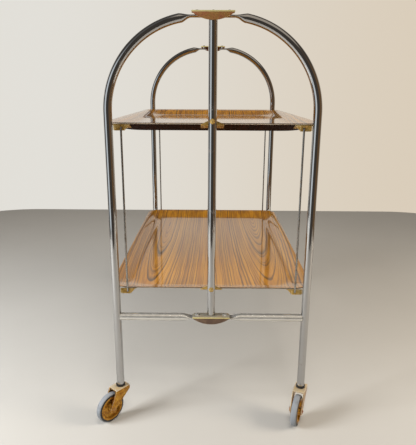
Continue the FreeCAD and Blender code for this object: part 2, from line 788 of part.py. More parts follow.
def leg_bushes():
    """The black bushes in the leg ends that the caster stems turn in."""
    solids = []
    for end in ENDS.values():
        for side in (-1, 1):
            x = f"{side} * {LEG_X}"
            y = f"{end} * {FRAME_Y}"
            low = f"{FORK_TOP} + swivel_gap"
            collar = rod_along("Z", "collar_diameter / 2", "collar_height", x, y, low)
            plug = rod_along("Z", "bush_diameter / 2", "bush_length", x, y, LEG_FOOT)
            bore = rod_along("Z", "stem_diameter / 2 + running_gap", "collar_height + bush_length", x, y, low)
            solids.append(cut(fused([collar, plug]), [bore]))
    group("leg_bushes", solids)


def build():
    """Every sub-part, end by end and tray by tray."""
    for end_name, end in ENDS.items():
        y = f"{end} * {FRAME_Y}"
        turn = 0 if end < 0 else 180
        post(end_name + "_post", y)
        hinge_bracket(end_name + "_top_bracket", y, POST_TOP, turn)
        hinge_bracket(end_name + "_bottom_bracket", y, f"{POST_FOOT} - hinge_sheet", turn)
        for side in (-1, 1):
            side_name = "left" if side * end > 0 else "right"
            corner = f"{end_name}_{side_name}"
            across = -side * end
            half_turn = 0 if across > 0 else 180
            leg(corner + "_leg", y, half_turn)
            crossbar(corner + "_crossbar", y, half_turn)
            tie_rod(corner + "_rod", y, turn, side)
            for level, rim in LEVELS.items():
                corner_bracket(f"{level}_{corner}_bracket", y, rim, turn, side)
            swing = number("left_swing" if side < 0 else "right_swing") + turn
            caster(corner + "_caster", f"{across} * {LEG_X}", y, swing)
        for level, rim in LEVELS.items():
            pivot_bracket(f"{level}_{end_name}_pivot_bracket", y, rim, turn)
    for level, rim in LEVELS.items():
        tray(level + "_tray", rim)
        tray_rivets(level + "_tray_rivets", rim)
    frame_rivets()
    pivot_bolts()
    leg_bushes()


def check():
    """Stop on any failed object or unsound sub-part."""
    doc.recompute()
    for item in doc.Objects:
        if "Invalid" in item.State or "Error" in item.State:
            raise RuntimeError(f"{item.Name} ({item.Label}) failed: {item.State}")
    for item in sub_parts:
        if item.Shape.isNull() or not item.Shape.isValid():
            raise RuntimeError(f"{item.Label} has no sound shape")


def write():
    """Write each sub-part to its own file."""
    os.makedirs("parts", exist_ok=True)
    for item in sub_parts:
        item.Shape.exportStep(f"parts/{item.Label}.step")
        print(f"{item.Label}: {len(item.Shape.Solids)} solids, {item.Shape.Volume:.0f} mm3")


build()
check()
write()
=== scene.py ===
# %% [markdown]
# A folding tea trolley, dressed in Blender.
# The CAD model already holds the true sizes and the moving bodies. This lesson loads it as a fixed frame,
# sets up a plain studio, draws the finishes as node materials, and models again by hand the pieces whose
# smoothness shows: the chromed tubes, the wire rods, the dished trays, the tyres and the hubs. Pressed
# sheet keeps its CAD shape and has its edges broken. Rivets, bolts and other small work only change their
# finish.

# %% Load the frame
import json
import math

import bmesh
import bpy
from mathutils import Matrix, Vector

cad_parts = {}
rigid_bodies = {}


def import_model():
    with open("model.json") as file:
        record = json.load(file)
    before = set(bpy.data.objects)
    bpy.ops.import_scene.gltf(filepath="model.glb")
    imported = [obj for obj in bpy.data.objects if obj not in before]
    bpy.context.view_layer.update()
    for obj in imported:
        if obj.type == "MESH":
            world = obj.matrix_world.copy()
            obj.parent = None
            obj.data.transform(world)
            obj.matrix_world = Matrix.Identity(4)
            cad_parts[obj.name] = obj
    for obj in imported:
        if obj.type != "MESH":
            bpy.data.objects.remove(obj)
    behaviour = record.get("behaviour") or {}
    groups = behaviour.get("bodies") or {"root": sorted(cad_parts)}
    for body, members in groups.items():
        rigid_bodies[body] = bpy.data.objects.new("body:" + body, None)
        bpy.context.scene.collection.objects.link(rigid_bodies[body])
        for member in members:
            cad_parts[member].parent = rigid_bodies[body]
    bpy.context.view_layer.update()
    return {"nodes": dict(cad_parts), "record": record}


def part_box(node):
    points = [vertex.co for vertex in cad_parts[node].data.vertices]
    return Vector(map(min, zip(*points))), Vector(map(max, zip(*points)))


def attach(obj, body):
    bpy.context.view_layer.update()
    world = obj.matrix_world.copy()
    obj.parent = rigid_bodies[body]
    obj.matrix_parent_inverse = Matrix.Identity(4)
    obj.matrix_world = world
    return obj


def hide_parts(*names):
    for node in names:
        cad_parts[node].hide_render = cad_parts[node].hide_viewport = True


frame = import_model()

record = frame["record"]
body_of = {node: body for body, nodes in record["behaviour"]["bodies"].items() for node in nodes}
slot_of = {part["node"]: part["material_slot"] for part in record["subparts"]}

# %% [markdown]
# Furniture is easier to think of in millimetres, so small sizes are written in them, and one factor turns
# them into metres. Places are measured from the frame wherever the CAD model has them.

# %% Units
MM = 0.001
print("one millimetre is", MM, "metres")

# %% [markdown]
# The camera stands where the photograph was taken: a little above the upper tray, square to one arched
# end, looking down by about fifteen degrees. It could be set by eye, but the straight tubes tell more.
# Their lines in the picture give the camera's place, turn and lens, so the perspective matches. The
# picture is 416 pixels wide and 445 high, and Blender fits the sensor to the longer side.

# %% Camera
PICTURE_HEIGHT = 445
FOCAL_PIXELS = 482
SENSOR = 36
CAMERA_PLACE = (-0.0001, -1.2478, 0.6792)
PITCH = 15.34
YAW = 0.45
ROLL = 0.31

camera_data = bpy.data.cameras.new("photo_camera")
camera_data.sensor_width = SENSOR
camera_data.lens = FOCAL_PIXELS * SENSOR / PICTURE_HEIGHT
camera = bpy.data.objects.new("photo_camera", camera_data)
bpy.context.scene.collection.objects.link(camera)
aim = (Matrix.Rotation(math.radians(YAW), 4, "Z")
       @ Matrix.Rotation(math.radians(90 - PITCH), 4, "X")
       @ Matrix.Rotation(math.radians(ROLL), 4, "Z"))
camera.matrix_world = Matrix.Translation(CAMERA_PLACE) @ aim
bpy.context.scene.camera = camera
bpy.context.scene.view_settings.view_transform = "Standard"
print("camera lens", round(camera_data.lens, 2), "mm")

# %% [markdown]
# A finish is a small program made of nodes. Each node could be placed and linked one by one, but a recipe
# reads better as plain arithmetic. So one class wraps an output socket, and a sum, difference or product
# of wrapped sockets adds its Math node. The reflected forms let a number stand first, as in 1 - stain.

# %% Socket arithmetic
class Value:
    """An output socket, which Python's operators turn into Math nodes."""

    def __init__(self, board, socket):
        self.board = board
        self.socket = socket

    def reckon(self, operation, first, second=0.0):
        return self.board.add("Math", {"operation": operation}, {0: first, 1: second})

    def __add__(self, other):
        return self.reckon("ADD", self, other)

    def __radd__(self, other):
        return self.reckon("ADD", other, self)

    def __sub__(self, other):
        return self.reckon("SUBTRACT", self, other)

    def __rsub__(self, other):
        return self.reckon("SUBTRACT", other, self)

    def __mul__(self, other):
        return self.reckon("MULTIPLY", self, other)

    def __rmul__(self, other):
        return self.reckon("MULTIPLY", other, self)

    def __truediv__(self, other):
        return self.reckon("DIVIDE", self, other)

    def __rtruediv__(self, other):
        return self.reckon("DIVIDE", other, self)

    def __pow__(self, other):
        return self.reckon("POWER", self, other)

    def __rpow__(self, other):
        return self.reckon("POWER", other, self)

    def __abs__(self):
        return self.reckon("ABSOLUTE", self)


print("socket arithmetic ready")

# %% [markdown]
# A second class holds one node tree. Its add method makes any other node from its type, its settings and
# its inputs, and short methods name what every finish needs, such as noise, a soft threshold or a mix of
# two colours. Colours go through Mix, because a Math node would turn them grey. A Mix node has sockets
# for numbers, vectors and colours, so those for colours are named by their place in its list.

# %% Node board
FIRST_COLOUR = 6
SECOND_COLOUR = 7
MIXED_COLOUR = 2


class Board:
    """A node tree and the shorthands that every finish uses."""

    def __init__(self, tree):
        self.tree = tree
        tree.nodes.clear()

    def add(self, kind, settings=None, inputs=None, output=0):
        node = self.tree.nodes.new("ShaderNode" + kind)
        for name, value in (settings or {}).items():
            if name == "stops":
                self.set_stops(node.color_ramp, value)
            else:
                setattr(node, name, value)
        for key, value in (inputs or {}).items():
            if isinstance(value, Value):
                self.tree.links.new(value.socket, node.inputs[key])
            else:
                node.inputs[key].default_value = value
        return Value(self, node.outputs[output]) if node.outputs else None

    def set_stops(self, ramp, stops):
        while len(ramp.elements) < len(stops):
            ramp.elements.new(1.0)
        for element, (position, colour) in zip(ramp.elements, stops):
            element.position = position
            element.color = (*colour, 1.0)

    def place(self, output="Object"):
        return self.add("TexCoord", output=output)

    def axis(self, vector, name):
        return self.add("SeparateXYZ", inputs={0: vector}, output=name)

    def stretched(self, vector, scale, turn=(0, 0, 0)):
        """Coordinates that draw a pattern out along each axis whose scale is below 1."""
        return self.add("Mapping", inputs={"Vector": vector, "Scale": scale, "Rotation": turn})

    def noise(self, vector, scale, detail=3.0, roughness=0.55):
        """Cloudy noise about 0.5. The scale is in clouds per metre."""
        return self.add("TexNoise", inputs={"Vector": vector, "Scale": scale, "Detail": detail,
                                            "Roughness": roughness})

    def between(self, value, low, high):
        """0 below low, 1 above high, smooth between. Low may be the larger, to turn it round."""
        return self.add("MapRange", {"interpolation_type": "SMOOTHSTEP"},
                        {"Value": value, "From Min": low, "From Max": high})

    def ramp(self, value, stops):
        return self.add("ValToRGB", {"stops": stops}, {0: value})

    def mix(self, share, first, second):
        """The first colour where the share is 0 and the second where it is 1."""
        colours = [value if isinstance(value, Value) else (*value, 1.0) for value in (first, second)]
        inputs = {0: share, FIRST_COLOUR: colours[0], SECOND_COLOUR: colours[1]}
        return self.add("Mix", {"data_type": "RGBA"}, inputs, MIXED_COLOUR)

    def bump(self, height, strength, distance):
        return self.add("Bump", inputs={"Height": height, "Strength": strength, "Distance": distance})

    def surface(self, **inputs):
        """The shader itself. Names are its sockets, with underscores for spaces."""
        named = {name.replace("_", " "): value for name, value in inputs.items()}
        shader = self.add("BsdfPrincipled", inputs=named)
        self.add("OutputMaterial", inputs={"Surface": shader})


def finish(name):
    """A new material and its empty board."""
    material = bpy.data.materials.new(name)
    material.use_nodes = True
    return material, Board(material.node_tree)


print("node board ready")

# %% [markdown]
# The studio starts with its floor, a pale sheet with round corners. A plane is enough for that, with its
# four corners beveled in edit mode. A faint cloudiness keeps it from looking like a flat fill.

# %% Studio floor
FLOOR_SIZE = 3.0
FLOOR_CORNER = 0.5
FLOOR_CORNER_STEPS = 24
FLOOR_SHADE = (0.40, 0.385, 0.36)
FLOOR_LIGHT = (0.44, 0.425, 0.40)
FLOOR_ROUGHNESS = 0.75

bpy.ops.object.select_all(action="DESELECT")
bpy.ops.mesh.primitive_plane_add(size=FLOOR_SIZE)
bpy.ops.object.mode_set(mode="EDIT")
bpy.ops.mesh.bevel(affect="VERTICES", offset=FLOOR_CORNER, segments=FLOOR_CORNER_STEPS)
bpy.ops.object.mode_set(mode="OBJECT")
floor = bpy.context.object
floor.name = "studio_floor"
floor_material, board = finish("pale_floor")
floor_tone = board.noise(board.place(), 3.0, 4.0)
board.surface(Base_Color=board.mix(floor_tone, FLOOR_SHADE, FLOOR_LIGHT), Roughness=FLOOR_ROUGHNESS)
floor.data.materials.append(floor_material)
print("floor of", len(floor.data.vertices), "corners")

# %% [markdown]
# Chrome has no colour of its own, so what surrounds it is its finish. The world is painted by direction
# alone: a cool window to the left, a warm wall to the right, pale paper behind, and a dim room with a
# pale ceiling where the camera stands. A picture of a room could do this too, but soft patches are easier
# to set exactly where the tubes need a bright or a dark line. Each patch has a heading and two cosines,
# for the angles where it starts and where it is full.

# %% World
DIM = (0.075, 0.065, 0.055)
COOL_PAPER = (0.76, 0.74, 0.69)
WARM_PAPER = (0.70, 0.61, 0.49)
WINDOW = (0.95, 1.03, 1.08)
WARM_WALL = (0.20, 0.120, 0.060)
CEILING = (0.60, 0.53, 0.44)
TO_RIGHT = (1, 0, 0)
TO_PAPER = (0, 1, 0)
TO_ZENITH = (0, 0, 1)
TO_WARM_WALL = (0.95, -0.30, 0)
TO_WINDOW = (-0.79, -0.62, 0)
TO_CEILING = (0.25, -0.50, 0.87)
ZENITH_SHADE = 0.92

world = bpy.data.worlds.new("soft_studio")
world.use_nodes = True
bpy.context.scene.world = world
board = Board(world.node_tree)
direction = board.place("Generated")
flat = board.add("VectorMath", {"operation": "MULTIPLY"}, {0: direction, 1: (1, 1, 0)})
bearing = board.add("VectorMath", {"operation": "NORMALIZE"}, {0: flat})


def facing(heading, low, high, looking=bearing):
    """How far a direction turns towards a heading, from 0 to 1."""
    heading = Vector(heading).normalized()
    along = board.add("VectorMath", {"operation": "DOT_PRODUCT"}, {0: looking, 1: heading}, "Value")
    return board.between(along, low, high)


paper = board.mix(facing(TO_RIGHT, -0.35, 0.45), COOL_PAPER, WARM_PAPER)
sky = board.mix(facing(TO_WARM_WALL, 0.70, 0.90), DIM, WARM_WALL)
sky = board.mix(facing(TO_WINDOW, 0.91, 0.97), sky, WINDOW)
sky = board.mix(facing(TO_PAPER, 0.10, 0.60), sky, paper)
sky = board.mix(facing(TO_ZENITH, 0.27, 0.52, direction) * ZENITH_SHADE, sky, DIM)
sky = board.mix(facing(TO_CEILING, 0.84, 0.90, direction), sky, CEILING)
backdrop = board.add("Background", inputs={"Color": sky, "Strength": 1.0})
board.add("OutputWorld", inputs={"Surface": backdrop})
print("world nodes:", len(board.tree.nodes))

# %% [markdown]
# Three soft boxes do the lighting: daylight from the window's side, a warm box opposite and a weak one
# above. Metal mirrors the room without them, because a lamp in a bright tube is only a hard white line.

# %% Lamps
TROLLEY_MIDDLE = Vector((0, 0, 0.4))


def lamp(name, place, size, power, colour):
    """A square soft box that faces the trolley's middle."""
    data = bpy.data.lights.new(name, "AREA")
    data.size = size
    data.energy = power
    data.color = colour
    light = bpy.data.objects.new(name, data)
    bpy.context.scene.collection.objects.link(light)
    light.location = place
    light.visible_glossy = False
    light.rotation_euler = (TROLLEY_MIDDLE - Vector(place)).to_track_quat("-Z", "Y").to_euler()


lamp("window_box", (-1.45, -0.9, 0.85), size=0.7, power=52, colour=(0.95, 0.98, 1.0))
lamp("warm_box", (1.6, -0.6, 0.9), size=0.7, power=30, colour=(1.0, 0.90, 0.76))
lamp("top_box", (0.1, -1.2, 2.1), size=0.6, power=18, colour=(1.0, 0.97, 0.93))
print("studio lit by", len(bpy.data.lights), "lamps")

# %% [markdown]
# The tubes are chromed steel that has aged: a mirror gone a little hazy, with fine draw marks along the
# tube, tiny pits and, here and there, a brown bloom where rust has crept under the plate. One roughness
# for all of it would look new, so noise at four scales drives colour, metal, roughness and bump.

# %% Chrome finish
HAZY_CHROME = (0.42, 0.42, 0.425)
BRIGHT_CHROME = (0.52, 0.515, 0.51)
RUST_BLOOM = (0.33, 0.21, 0.12)
PIT_BROWN = (0.12, 0.08, 0.06)

chrome, board = finish("aged_chrome")
place = board.place()
haze = board.noise(board.stretched(place, (1, 1, 0.35)), 55, 4)
draw_marks = board.noise(board.stretched(place, (1, 1, 0.02)), 900, 2)
pits = board.between(board.noise(place, 420, 2), 0.70, 0.78)
bloom = board.between(board.noise(place, 38, 5, 0.65), 0.62, 0.78)
plate = board.mix(haze, HAZY_CHROME, BRIGHT_CHROME)
plate = board.mix(bloom * 0.5, plate, RUST_BLOOM)
plate = board.mix(pits * 0.55, plate, PIT_BROWN)
board.surface(
    Base_Color=plate,
    Metallic=1.0 - bloom * 0.2,
    Roughness=0.035 + haze * 0.06 + bloom * 0.16 + pits * 0.2,
    Normal=board.bump(draw_marks * 0.3 - pits, 0.08, 0.3 * MM))
finishes = {"chrome_tube": chrome}
print("chrome nodes:", len(board.tree.nodes))

# %% [markdown]
# The half crossbars and the frame's rivets were plated in another bath: the same metal, but paler, satin
# and dusty. The brushing runs along the bars, so its noise is drawn out along X.

# %% Satin plate finish
SATIN_PLATE = (0.56, 0.545, 0.51)
DUSTY_PLATE = (0.76, 0.74, 0.69)
SPOT_BROWN = (0.20, 0.15, 0.11)

satin_plate, board = finish("satin_plate")
place = board.place()
brushing = board.noise(board.stretched(place, (0.03, 1, 1)), 700, 3)
dust = board.noise(place, 140, 5, 0.65)
spots = board.between(board.noise(place, 300, 3), 0.66, 0.76)
plate = board.mix(dust, SATIN_PLATE, DUSTY_PLATE)
plate = board.mix(spots * 0.6, plate, SPOT_BROWN)
board.surface(
    Base_Color=plate,
    Metallic=0.92 - dust * 0.25,
    Roughness=0.16 + brushing * 0.10 + spots * 0.2,
    Normal=board.bump(brushing, 0.12, 0.2 * MM))
print("satin plate nodes:", len(board.tree.nodes))

# %% [markdown]
# The hinge brackets are plated too, but thinner and more handled. The upper brackets are stained red-brown.
# The lower brackets take a darker, duller copy of that plate, which is painted shade. The flanges are
# paler, with a yellow stain here and there. The caster axles have worn like the upper brackets, and the
# flat crowns of the forks are painted pale as a highlight from above, over a stain. One recipe serves them
# all, with a clean colour, a stained colour and the share that is stained.

# %% Hinge plate finishes
SCUFF_BROWN = (0.16, 0.085, 0.05)
SCUFF_TURN = (0, 0, 0.4)


def hinge_plate(name, clean, stained, share):
    """Thin plate, stained over some share of its surface."""
    material, board = finish(name)
    place = board.place()
    scuffs = board.noise(board.stretched(place, (0.3, 1, 1), SCUFF_TURN), 260, 4, 0.7)
    stain = board.between(board.noise(place, 60, 4, 0.6), 0.85 - share, 1.15 - share)
    plate = board.mix(stain, clean, stained)
    plate = board.mix(board.between(scuffs, 0.58, 0.75) * 0.6, plate, SCUFF_BROWN)
    board.surface(
        Base_Color=plate,
        Metallic=0.70 - stain * 0.25,
        Roughness=0.24 + scuffs * 0.22,
        Normal=board.bump(scuffs, 0.12, 0.3 * MM))
    print(name, "nodes:", len(board.tree.nodes))
    return material


hinge_face = hinge_plate("hinge_face", (0.42, 0.22, 0.07), (0.24, 0.085, 0.04), 0.55)
# A darker, duller copy of the same plate for the lower brackets: painted shade.
hinge_painted_shade = hinge_plate("hinge_painted_shade", (0.20, 0.13, 0.085), (0.11, 0.065, 0.045), 0.55)
hinge_flange = hinge_plate("hinge_flange", (0.60, 0.55, 0.44), (0.56, 0.30, 0.07), 0.35)
# The forks' flat crowns: a pale finish painted as a highlight from above, over a stain.
fork_crown_highlight = hinge_plate("fork_crown_highlight", (0.82, 0.68, 0.47), (0.68, 0.45, 0.18), 0.40)
finishes["plated_bracket"] = hinge_face

# %% [markdown]
# The trays' small brackets, their rivets and the pivot bolts are yellow zinc: gold that drifts from brown
# to pale straw and rusts in freckles. A colour ramp over slow noise makes the drift, and a finer noise,
# cut off by a threshold, makes the freckles. Rust is no metal, so a freckle also takes the metal away.

# %% Yellow zinc finish
ZINC_DRIFT = [(0.30, (0.40, 0.23, 0.05)), (0.52, (0.58, 0.37, 0.10)), (0.72, (0.70, 0.55, 0.26))]
FRECKLE_RUST = (0.20, 0.08, 0.025)

yellow_zinc, board = finish("yellow_zinc")
place = board.place()
drift = board.noise(place, 90, 3, 0.6)
freckles = board.between(board.noise(place, 230, 4, 0.7), 0.54, 0.68)
plate = board.mix(freckles * 0.8, board.ramp(drift, ZINC_DRIFT), FRECKLE_RUST)
board.surface(
    Base_Color=plate,
    Metallic=0.80 - freckles * 0.6,
    Roughness=0.34 + drift * 0.12 + freckles * 0.3,
    Normal=board.bump(freckles, 0.25, 0.2 * MM))
finishes["zinc_bracket"] = yellow_zinc
print("yellow zinc nodes:", len(board.tree.nodes))

# %% [markdown]
# Where an edge is handled the coating is thin, and paler metal shows in a broken line. A mask could look
# for edges by their curvature, but the bevels modelled further on give every edge faces of its own, so
# wear is simply the finish of those faces. One recipe, in three colour pairs, serves the hinge brackets,
# the small brackets and the caster forks.

# %% Worn edge finishes
def worn_edge(name, bare, coated, share):
    """Bare metal along an edge, broken by what is left of the coating."""
    material, board = finish(name)
    place = board.place()
    rub = board.between(board.noise(place, 240, 4, 0.65), 0.62 - share * 0.5, 0.80 - share * 0.5)
    board.surface(
        Base_Color=board.mix(rub, coated, bare),
        Metallic=0.55 + rub * 0.2,
        Roughness=0.42 - rub * 0.12,
        Normal=board.bump(rub, 0.15, 0.2 * MM))
    print(name, "nodes:", len(board.tree.nodes))
    return material


plate_edge = worn_edge("worn_plate_edge", (0.85, 0.74, 0.34), (0.60, 0.42, 0.12), 0.80)
zinc_edge = worn_edge("worn_zinc_edge", (0.76, 0.68, 0.48), (0.50, 0.34, 0.10), 0.65)
amber_edge = worn_edge("worn_amber_edge", (0.88, 0.78, 0.58), (0.62, 0.40, 0.12), 0.90)

# %% [markdown]
# The tie rods, the caster stems and the pivot spacers are drawn steel: grey, with the fine lines that the
# die leaves along the length, and a brown tarnish in patches. All of them but the spacers stand upright,
# so the lines are noise drawn out along Z.

# %% Drawn steel finish
STEEL_GREY = (0.38, 0.37, 0.35)
TARNISH_BROWN = (0.18, 0.14, 0.10)

drawn_steel, board = finish("drawn_steel")
place = board.place()
die_lines = board.noise(board.stretched(place, (1, 1, 0.015)), 1500, 3)
tarnish = board.between(board.noise(place, 70, 4, 0.65), 0.45, 0.72)
board.surface(
    Base_Color=board.mix(tarnish, STEEL_GREY, TARNISH_BROWN),
    Metallic=1.0 - tarnish * 0.2,
    Roughness=0.18 + die_lines * 0.15 + tarnish * 0.12,
    Normal=board.bump(die_lines, 0.15, 0.2 * MM))
finishes["rod_steel"] = drawn_steel
print("drawn steel nodes:", len(board.tree.nodes))

# %% [markdown]
# The trays are pressed from a laminate printed like figured teak under a glossy clear coat. Stretched
# noise alone gives straight stripes, but teak has long pointed arches. On a real board the growth rings
# are cones about the trunk, and a flat cut through them draws those arches. The same sum works here: the
# ring a point lies on is its distance from a trunk axis that rises slowly through the tray, and each half
# of the tray is a board with an axis of its own. Every ring draws its own darkness and width, fine lines
# follow the rings, and between the boards the figure fades to plain lengthwise fibre.

# %% Growth rings
BOARD_MIDDLE = 130 * MM
RING_STEP = 6.2 * MM
TRUNK_DEPTH = 45 * MM
TRUNK_TILT = 0.07
HALF_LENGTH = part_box("upper_tray")[1].y
WANDER_ACROSS = 14 * MM
WANDER_DEEP = 10 * MM
TREMOR_ACROSS = 5 * MM
HALF_DEEPER = 7 * MM
HALF_RINGS = 20.3
PLAIN_JOINT = 4 * MM
FIGURED_FROM = 50 * MM


def ring_number(board, place, x):
    """How many growth rings a point lies from the trunk of its half of the tray."""
    wander = board.noise(board.stretched(place, (1, 0.25, 1)), 8, 3) - 0.5
    tremor = board.noise(board.stretched(place, (1, 0.15, 1)), 70, 3) - 0.5
    half = x.reckon("SIGN", x)
    across = abs(x) - BOARD_MIDDLE + wander * WANDER_ACROSS + tremor * TREMOR_ACROSS
    rise = (board.axis(place, "Y") + HALF_LENGTH) * TRUNK_TILT
    depth = TRUNK_DEPTH - rise + half * HALF_DEEPER + wander * WANDER_DEEP
    return (across * across + depth * depth) ** 0.5 / RING_STEP + half * HALF_RINGS


def late_wood(board, trunk, x):
    """The dark band at the end of each ring, from 0 to 1, faint at the joint between the boards."""
    band = trunk.reckon("FRACT", trunk)
    weight = board.add("TexWhiteNoise", {"noise_dimensions": "1D"}, {"W": trunk.reckon("FLOOR", trunk)})
    bands = board.between(band, 0.80 - weight * 0.45, 0.93) * board.between(band, 1.0, 0.95)
    spread = 0.25 + board.between(abs(x), PLAIN_JOINT, FIGURED_FROM) * 0.75
    return bands * (0.50 + weight * 0.50) * spread


print("rings every", RING_STEP, "m about a trunk", TRUNK_DEPTH, "m deep")

# %% [markdown]
# The print itself is three layers over the base tone: fine lines, late wood and pores. The glossy coat
# lies on the upper face only. The underside is the same sheet, matt, and its colours are painted nearly
# black as shade, so one function makes both.

# %% Laminate finish
COAT_IOR = 1.60
FINE_LINE_SCALE = 2.2


def laminate(name, light, middle, dark, gloss):
    """Printed wood under a clear coat, as a material."""
    material, board = finish(name)
    place = board.place()
    x = board.axis(place, "X")
    trunk = ring_number(board, place, x)
    fibre = board.noise(board.stretched(place, (1, 0.018, 1)), 520, 4, 0.6)
    streak = board.noise(board.stretched(place, (1, 0.035, 1)), 75, 3, 0.6)
    fine_lines = board.add("TexNoise", {"noise_dimensions": "1D"},
                           {"W": trunk, "Scale": FINE_LINE_SCALE, "Detail": 2.0})
    pores = board.between(fibre, 0.60, 0.72)
    dust = board.noise(place, 160, 4)
    colour = board.ramp(streak * 0.7 + fibre * 0.3, [(0.36, middle), (0.62, light)])
    colour = board.mix(board.between(fine_lines, 0.50, 0.68) * 0.55, colour, dark)
    colour = board.mix(late_wood(board, trunk, x) * 0.85, colour, dark)
    colour = board.mix(pores * 0.5, colour, dark)
    board.surface(
        Base_Color=colour,
        Roughness=0.55 - gloss * 0.2 + dust * 0.12,
        Specular_IOR_Level=0.05 + gloss * 0.25,
        Coat_Weight=gloss,
        Coat_Roughness=0.05,
        Coat_IOR=COAT_IOR,
        Normal=board.bump(pores, 0.04, 0.2 * MM))
    print(name, "nodes:", len(board.tree.nodes))
    return material


tray_top = laminate("laminate_top", light=(0.50, 0.215, 0.008), middle=(0.30, 0.108, 0.003),
                    dark=(0.030, 0.011, 0.003), gloss=1.0)
# The underside's colours are near black: painted shade over the same print.
tray_under_shade = laminate("laminate_under_shade", light=(0.030, 0.008, 0.004), middle=(0.013, 0.005, 0.003),
                      dark=(0.006, 0.003, 0.002), gloss=0.0)
finishes["tray_laminate"] = tray_top

# %% [markdown]
# The cut edge of the sheet shows its layers: a dark pressed core, and a paler backing under it. One
# striped material could draw both, but the layers are modelled, so each layer's faces take a plain finish
# of their own, roughened a little by the saw.

# %% Laminate edge finishes
def cut_edge(name, light, dark):
    """A sawn and lacquered layer."""
    material, board = finish(name)
    place = board.place()
    saw = board.noise(board.stretched(place, (1, 1, 6)), 180, 4, 0.65)
    board.surface(
        Base_Color=board.ramp(saw, [(0.35, dark), (0.65, light)]),
        Roughness=0.36 + saw * 0.2,
        Normal=board.bump(saw, 0.1, 0.2 * MM))
    print(name, "nodes:", len(board.tree.nodes))
    return material


edge_core = cut_edge("laminate_core", (0.055, 0.030, 0.018), (0.022, 0.013, 0.009))
edge_backing = cut_edge("laminate_backing", (0.42, 0.35, 0.26), (0.22, 0.16, 0.10))

# %% [markdown]
# Forks and hubs are pressed metal under an amber lacquer that has thinned in places and holds grime in
# others. The metal carries the colour, and a weak clear coat gives it a second, sharper shine.

# %% Amber lacquer finish
AMBER_MOTTLE = [(0.30, (0.26, 0.10, 0.006)), (0.50, (0.45, 0.20, 0.014)), (0.70, (0.62, 0.34, 0.05))]
GRIME_BROWN = (0.14, 0.055, 0.012)

amber, board = finish("amber_lacquer")
place = board.place()
mottle = board.noise(place, 120, 4, 0.6)
grime = board.between(board.noise(place, 210, 4, 0.7), 0.54, 0.72)
lacquer = board.mix(grime * 0.6, board.ramp(mottle, AMBER_MOTTLE), GRIME_BROWN)
board.surface(
    Base_Color=lacquer,
    Metallic=0.85 - grime * 0.4,
    Roughness=0.22 + mottle * 0.12 + grime * 0.2,
    Coat_Weight=0.25,
    Coat_Roughness=0.15,
    Normal=board.bump(mottle, 0.08, 0.3 * MM))
finishes["caster_gold"] = amber
print("amber lacquer nodes:", len(board.tree.nodes))

# %% [markdown]
# The tyres are hard rubber: black walls, and a tread that has been rolled grey with dust and fine
# scratches. The collars at the legs' feet are black plastic, which ages in the same way, so they share
# the recipe.

# %% Rubber and plastic finishes
def rubber(name, clean, dusty, share):
    """Hard rubber or plastic with some share of its surface dusted."""
    material, board = finish(name)
    place = board.place()
    scuff = board.noise(place, 260, 5, 0.65)
    dust = board.between(board.noise(place, 45, 4, 0.6), 0.75 - share, 1.05 - share)
    board.surface(
        Base_Color=board.mix(dust, clean, dusty),
        Roughness=0.48 + dust * 0.25,
        Normal=board.bump(scuff, 0.18, 0.4 * MM))
    print(name, "nodes:", len(board.tree.nodes))
    return material


tyre_wall = rubber("tyre_wall", (0.014, 0.014, 0.015), (0.06, 0.06, 0.06), 0.30)
tyre_tread = rubber("tyre_tread", (0.07, 0.075, 0.08), (0.20, 0.21, 0.225), 0.55)
bush_plastic = rubber("bush_plastic", (0.012, 0.012, 0.013), (0.05, 0.05, 0.05), 0.20)
finishes["tyre_rubber"] = tyre_wall
finishes["black_bush"] = bush_plastic

# %% [markdown]
# Every CAD piece first gets the finish of its slot in the record. The pieces that are remodelled further
# on hide their CAD piece, and the others stay with this finish. Of those, three kinds differ from their
# slot: the frame's rivets are satin plate, the pivot bolts yellow zinc, and the caster axles stained
# plate. A corner's name comes with the mirror that carries a piece there from the front right.

# %% Dress the CAD pieces
ENDS = {"front": -1, "rear": 1}
SIDES = {"left": -1, "right": 1}
CORNERS = {f"{end}_{side}": Matrix.Diagonal((across, -along, 1, 1))
           for end, along in ENDS.items() for side, across in SIDES.items()}

own_finish = {corner + "_caster_axle": hinge_face for corner in CORNERS}
own_finish["frame_rivets"] = satin_plate
own_finish["pivot_bolts"] = yellow_zinc
for node, piece in frame["nodes"].items():
    piece.data.materials.clear()
    piece.data.materials.append(own_finish.get(node, finishes[slot_of[node]]))
print("dressed", len(frame["nodes"]), "CAD pieces,", len(own_finish), "with a finish of their own")

# %% [markdown]
# Now the pieces that are shaped again by hand. Each starts from a primitive at its place, is opened in
# edit mode and grows from there: a ring is pulled along to make a tube, turned about a centre to bend it,
# and narrowed to taper it. A curve with a round section could make the tubes too, but not their flattened
# ends. An operator works on all that is selected, so every piece begins with nothing selected.

# %% Strokes that shape a piece
TUBE_SIDES = 40


def begin():
    """Object mode, with nothing selected."""
    if bpy.context.object and bpy.context.object.mode != "OBJECT":
        bpy.ops.object.mode_set(mode="OBJECT")
    bpy.ops.object.select_all(action="DESELECT")


def open_piece(name):
    """Name the active piece, settle its place into its mesh and open it with all of it selected."""
    piece = bpy.context.object
    piece.name = name
    piece.data.name = name
    bpy.ops.object.transform_apply(location=True, rotation=True, scale=True)
    bpy.ops.object.mode_set(mode="EDIT")
    bpy.ops.mesh.select_all(action="SELECT")
    return piece


def ring(name, radius, place, turn=(0, 0, 0), fill="NGON", sides=TUBE_SIDES):
    """Start a piece from a round section."""
    begin()
    bpy.ops.mesh.primitive_circle_add(vertices=sides, radius=radius, fill_type=fill,
                                      location=place, rotation=turn)
    return open_piece(name)


def pull(step):
    """Extrude what is selected along a step."""
    bpy.ops.mesh.extrude_region_move(TRANSFORM_OT_translate={"value": step})


def stretch(factors, centre):
    """Scale what is selected about a point."""
    bpy.ops.transform.resize(value=factors, center_override=centre)


